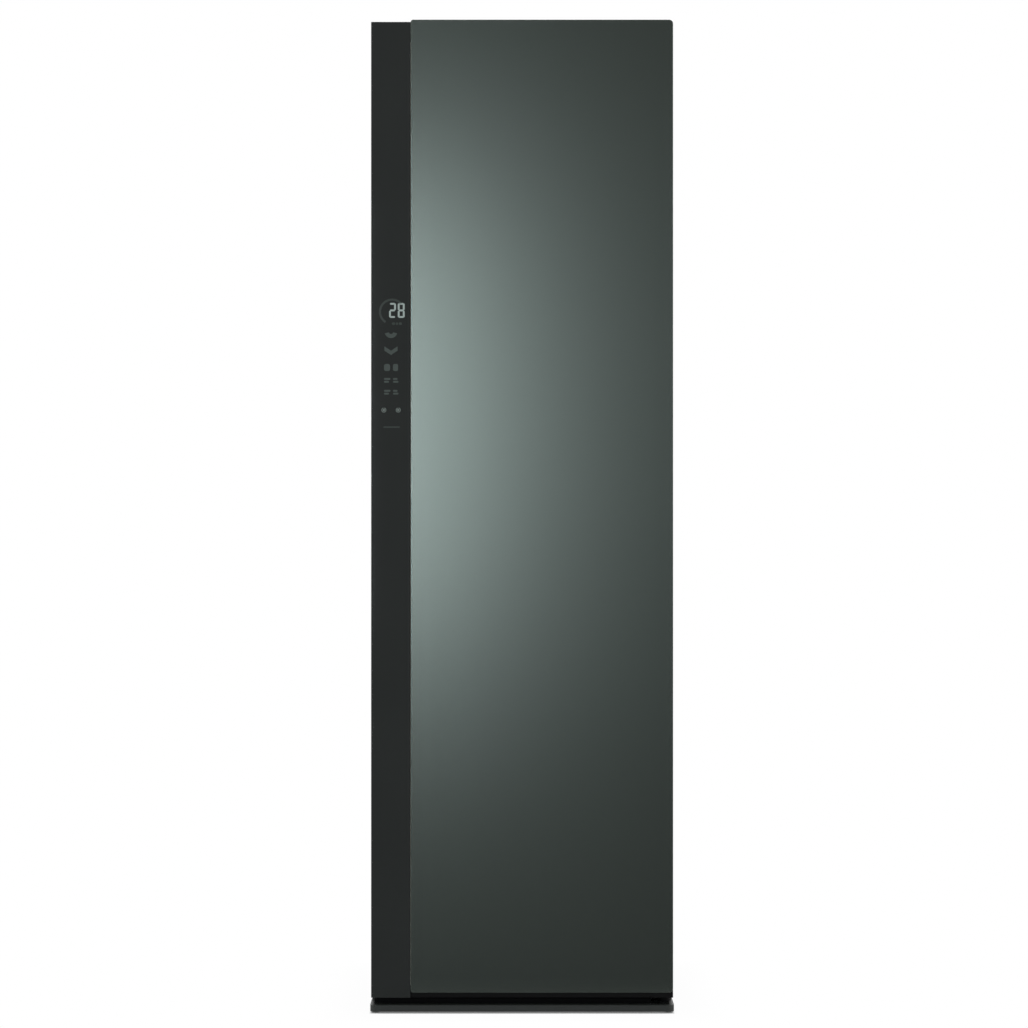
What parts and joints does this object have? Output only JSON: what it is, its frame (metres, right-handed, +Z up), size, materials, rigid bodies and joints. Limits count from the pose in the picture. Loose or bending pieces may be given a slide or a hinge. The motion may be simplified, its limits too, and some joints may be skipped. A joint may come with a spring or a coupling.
{
  "type": "clothes care steam cabinet",
  "caption": "Tall cabinet that steams, shakes, dries and presses clothes behind one glass-faced door, with water tanks and a heat pump in its base.",
  "frame": {"origin": "on the floor, under the middle of the cabinet's outer box", "axes": "+X to the right seen from the front, -Y out of the door, +Z up"},
  "size_m": [0.6, 0.596, 1.96],
  "materials": {
    "cabinet_paint": "fine satin powder coat, charcoal",
    "zinc_steel": "zinc plated sheet steel",
    "base_plastic": "fine-grained moulding, black",
    "frame_plastic": "fine-grained moulding, mid grey",
    "liner_plastic": "smooth vacuum-formed sheet, light grey",
    "foam": "pale insulation foam",
    "tank_plastic": "smoky translucent moulding",
    "lid_plastic": "fine-grained moulding, grey",
    "handle_plastic": "fine-grained moulding, dark grey",
    "plated_wire": "bright plated wire",
    "lamp_lens": "opal diffuser",
    "bar_plastic": "smooth moulding, silver grey",
    "motor_steel": "dull painted can",
    "pulley_plastic": "glass-filled moulding, black",
    "belt_rubber": "dull black rubber",
    "duct_plastic": "plain moulding, grey",
    "fin_aluminium": "bare fins",
    "compressor_paint": "black gloss enamel",
    "copper": "bare copper tube",
    "boiler_aluminium": "cast aluminium",
    "hose_rubber": "silicone hose",
    "pump_plastic": "plain moulding",
    "inlet_plastic": "black moulding",
    "bush_plastic": "natural acetal",
    "foot_steel": "zinc plated steel",
    "door_frame_paint": "satin black coating",
    "panel_glass": "satin etched glass, back-coated mist green",
    "strip_glass": "black back-printed glass",
    "display": "display carrier behind the strip",
    "gasket_rubber": "soft magnetic seal, grey",
    "press_plastic": "fine-grained moulding, silver grey"
  },
  "bodies": {
    "cabinet": {"side_panels": "cabinet_paint", "top_panel": "cabinet_paint", "back_panel": "zinc_steel", "base_frame": "base_plastic", "kick_plate": "base_plastic", "wall_spacers": "base_plastic", "front_frame": "frame_plastic", "liner_sides": "liner_plastic", "liner_back": "liner_plastic", "liner_ceiling": "liner_plastic", "liner_floor": "liner_plastic", "wall_insulation": "foam", "tank_bay": "liner_plastic", "interior_lamp": "lamp_lens", "steam_nozzle": "lid_plastic", "shaker_frame": "zinc_steel", "shaker_motor": "motor_steel", "drive_belt": "belt_rubber", "air_ducts": "duct_plastic", "heat_exchangers": "fin_aluminium", "blower_housing": "duct_plastic", "blower_motor": "motor_steel", "compressor": "compressor_paint", "compressor_mounts": "belt_rubber", "refrigerant_pipes": "copper", "steam_generator": "boiler_aluminium", "hoses": "hose_rubber", "water_pump": "pump_plastic", "control_box": "pump_plastic", "mains_inlet": "inlet_plastic", "hinge_brackets": "zinc_steel", "hinge_screws": "zinc_steel", "hinge_cover": "base_plastic", "rear_feet": "foot_steel"},
    "door": {"door_frame": "door_frame_paint", "door_glass_panel": "panel_glass", "control_glass": "strip_glass", "display_module": "display", "door_insulation": "foam", "door_liner": "liner_plastic", "door_gasket": "gasket_rubber", "hinge_bushes": "bush_plastic", "press_plate": "press_plastic"},
    "press_panel": {"press_panel": "press_plastic"},
    "waist_clamp": {"waist_clamp": "handle_plastic"},
    "hanger_bar": {"hanger_bar": "bar_plastic"},
    "crank_pulley": {"crank_pulley": "pulley_plastic"},
    "motor_pulley": {"motor_pulley": "pulley_plastic"},
    "blower_wheel": {"blower_wheel": "pulley_plastic"},
    "shelf_rack": {"shelf_rack": "plated_wire"},
    "lint_filter": {"lint_filter": "handle_plastic"},
    "aroma_case": {"aroma_case": "handle_plastic"},
    "supply_tank": {"supply_tank": "tank_plastic", "supply_tank_lid": "lid_plastic"},
    "supply_handle": {"supply_tank_handle": "handle_plastic"},
    "drain_tank": {"drain_tank": "tank_plastic", "drain_tank_lid": "lid_plastic"},
    "drain_handle": {"drain_tank_handle": "handle_plastic"},
    "foot_front_left": {"foot_front_left": "foot_steel"},
    "foot_front_right": {"foot_front_right": "foot_steel"}
  },
  "joints": [
    {"name": "door_hinge", "type": "hinge", "parent": "cabinet", "child": "door", "pos_m": [0.283, -0.267, 0], "axis": [0, 0, 1], "range_deg": [0, 110]},
    {"name": "press_hinge", "type": "hinge", "parent": "door", "child": "press_panel", "pos_m": [0.209, -0.234, 0], "axis": [0, 0, -1], "range_deg": [0, 90]},
    {"name": "clamp_hinge", "type": "hinge", "parent": "door", "child": "waist_clamp", "pos_m": [0, -0.238, 1.404], "axis": [1, 0, 0], "range_deg": [0, 15], "stiffness_Nm_per_rad": 0.6, "springref_deg": -5.73},
    {"name": "bar_slide", "type": "slide", "parent": "cabinet", "child": "hanger_bar", "axis": [1, 0, 0], "range_m": [-0.018, 0.018]},
    {"name": "crank_spin", "type": "hinge", "parent": "cabinet", "child": "crank_pulley", "pos_m": [0.035, 0.034, 0], "axis": [0, 0, 1], "continuous": true},
    {"name": "motor_spin", "type": "hinge", "parent": "cabinet", "child": "motor_pulley", "pos_m": [-0.115, 0.034, 0], "axis": [0, 0, 1], "continuous": true},
    {"name": "blower_spin", "type": "hinge", "parent": "cabinet", "child": "blower_wheel", "pos_m": [-0.132, 0, 0.368], "axis": [0, 1, 0], "continuous": true},
    {"name": "rack_lift", "type": "slide", "parent": "cabinet", "child": "shelf_rack", "axis": [0, 0, 1], "range_m": [0, 0.06]},
    {"name": "filter_lift", "type": "slide", "parent": "cabinet", "child": "lint_filter", "axis": [0, 0, 1], "range_m": [0, 0.11]},
    {"name": "aroma_lift", "type": "slide", "parent": "cabinet", "child": "aroma_case", "axis": [0, 0, 1], "range_m": [0, 0.06]},
    {"name": "supply_tank_slide", "type": "slide", "parent": "cabinet", "child": "supply_tank", "axis": [0, -1, 0], "range_m": [0, 0.03]},
    {"name": "supply_handle_lift", "type": "hinge", "parent": "supply_tank", "child": "supply_handle", "pos_m": [0, -0.1073, 0.2543], "axis": [-1, 0, 0], "range_deg": [0, 90]},
    {"name": "drain_tank_slide", "type": "slide", "parent": "cabinet", "child": "drain_tank", "axis": [0, -1, 0], "range_m": [0, 0.03]},
    {"name": "drain_handle_lift", "type": "hinge", "parent": "drain_tank", "child": "drain_handle", "pos_m": [0, -0.1073, 0.2543], "axis": [-1, 0, 0], "range_deg": [0, 90]},
    {"name": "foot_left_screw", "type": "slide", "parent": "cabinet", "child": "foot_front_left", "axis": [0, 0, -1], "range_m": [0, 0.012]},
    {"name": "foot_right_screw", "type": "slide", "parent": "cabinet", "child": "foot_front_right", "axis": [0, 0, -1], "range_m": [0, 0.012]}
  ],
  "couplings": [
    {"joint": "motor_spin", "follows": "crank_spin", "ratio": 2.1917}
  ]
}
